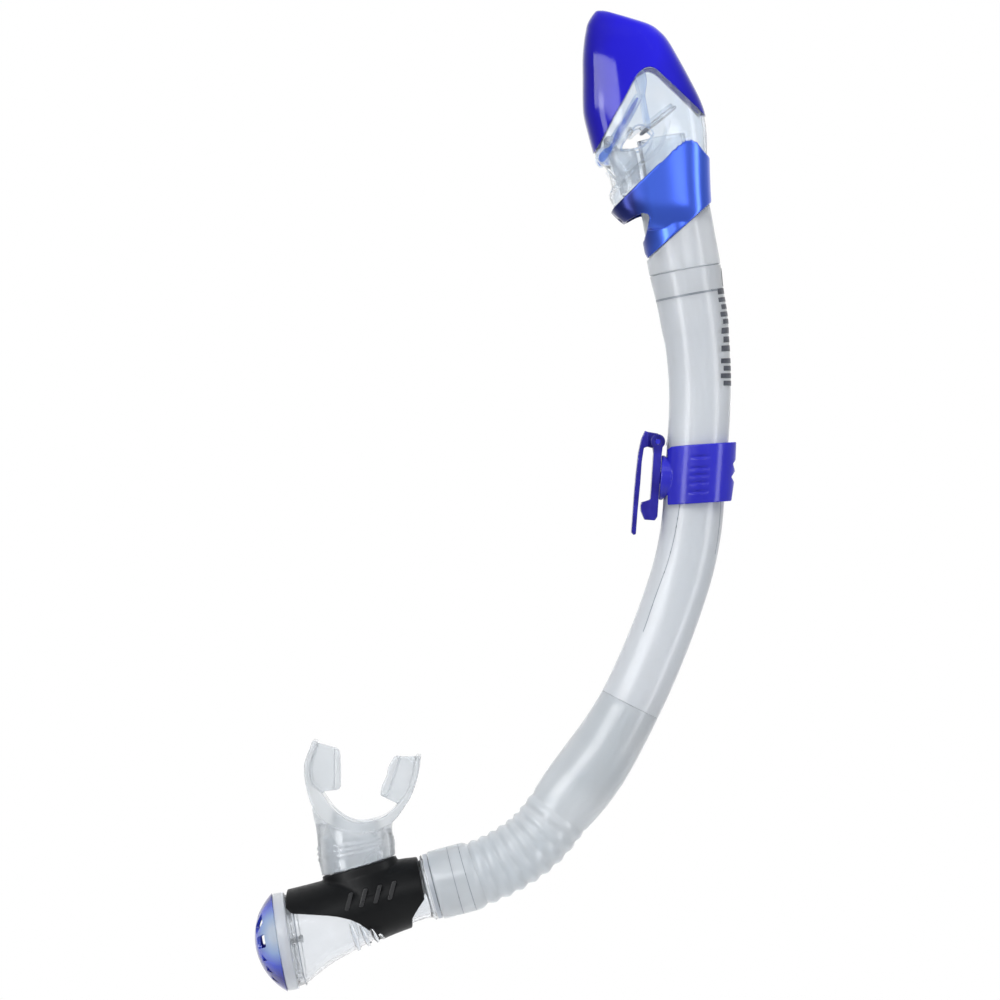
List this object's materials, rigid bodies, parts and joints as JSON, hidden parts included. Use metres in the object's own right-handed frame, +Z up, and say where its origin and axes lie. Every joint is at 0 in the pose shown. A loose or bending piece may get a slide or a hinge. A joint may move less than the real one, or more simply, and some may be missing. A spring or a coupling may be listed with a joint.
{
  "type": "snorkel tube",
  "caption": "dry-top snorkel: curved clear breathing tube with float valve hood, strap clip, corrugated hose, purge chamber and mouthpiece",
  "frame": {"origin": "middle of the flat strap face on the clip's plate, where the mask strap bears", "axes": "+Z runs up the breathing tube toward the hood, +X points from the mask strap side to the tube, and Y runs across the snorkel through its plane of symmetry"},
  "size_m": [0.2165, 0.0446, 0.4409],
  "materials": {
    "hood_blue": "opaque, high gloss",
    "collar_blue": "light metallic lacquer",
    "clear_blue": "clear with a faint blue tint",
    "clear_plastic": "clear, polished",
    "clear_silicone": "translucent, satin",
    "clip_blue": "translucent blue, polished",
    "cover_blue": "translucent blue, polished",
    "black_rubber": "satin",
    "grey_plastic": "satin",
    "float_grey": "satin foamed plastic",
    "white_silicone": "satin",
    "pin_steel": "polished"
  },
  "bodies": {
    "clip": {"strap_plate": "clip_blue", "gate_pin": "clip_blue"},
    "gate": {"clip_gate": "clip_blue"},
    "keeper": {"keeper_ring": "clip_blue"},
    "barrel": {"tube": "clear_plastic", "top_connector": "clear_plastic", "connector_o_ring": "black_rubber", "float_chamber": "clear_blue", "splash_collar": "collar_blue", "hood": "hood_blue", "lever_pin": "pin_steel", "flex_hose": "clear_silicone"},
    "float": {"float": "float_grey", "float_pin": "pin_steel"},
    "lever": {"valve_lever": "grey_plastic", "valve_seal": "white_silicone"},
    "lower": {"housing": "clear_plastic", "grip_cover": "black_rubber", "purge_ring": "clear_plastic", "purge_seat": "clear_plastic", "purge_cover": "cover_blue", "hose_gasket": "black_rubber", "mouthpiece": "clear_silicone"},
    "membrane": {"purge_membrane": "white_silicone"}
  },
  "joints": [
    {"name": "gate_hinge", "type": "hinge", "parent": "clip", "child": "gate", "pos_m": [0.0027, 0, 0.01588], "axis": [0, 1, 0], "range_deg": [0, 60]},
    {"name": "clip_swivel", "type": "hinge", "parent": "clip", "child": "keeper", "pos_m": [0, 0, 0], "axis": [0.9977, 0, -0.068], "range_deg": [-30, 30]},
    {"name": "keeper_slide", "type": "slide", "parent": "keeper", "child": "barrel", "axis": [0.068, 0, 0.9977], "range_m": [0, 0.008]},
    {"name": "float_rise", "type": "slide", "parent": "barrel", "child": "float", "axis": [-0.1805, 0, 0.9836], "range_m": [0, 0.00484]},
    {"name": "lever_swing", "type": "hinge", "parent": "barrel", "child": "lever", "pos_m": [-0.00993, 0, 0.15472], "axis": [0, 1, 0], "range_deg": [0, 28]},
    {"name": "hose_bend", "type": "hinge", "parent": "barrel", "child": "lower", "pos_m": [-0.05778, 0, -0.16772], "axis": [0, 1, 0], "range_deg": [-30, 30], "stiffness_Nm_per_rad": 1.2, "deforming": ["flex_hose"]},
    {"name": "purge_lift", "type": "slide", "parent": "lower", "child": "membrane", "axis": [-0.9863, 0, -0.165], "range_m": [0, 0.0012], "stiffness_N_per_m": 25, "springref_m": -0.0003}
  ],
  "couplings": [
    {"joint": "lever_swing", "follows": "float_rise", "rad_per_m": 100.99}
  ]
}
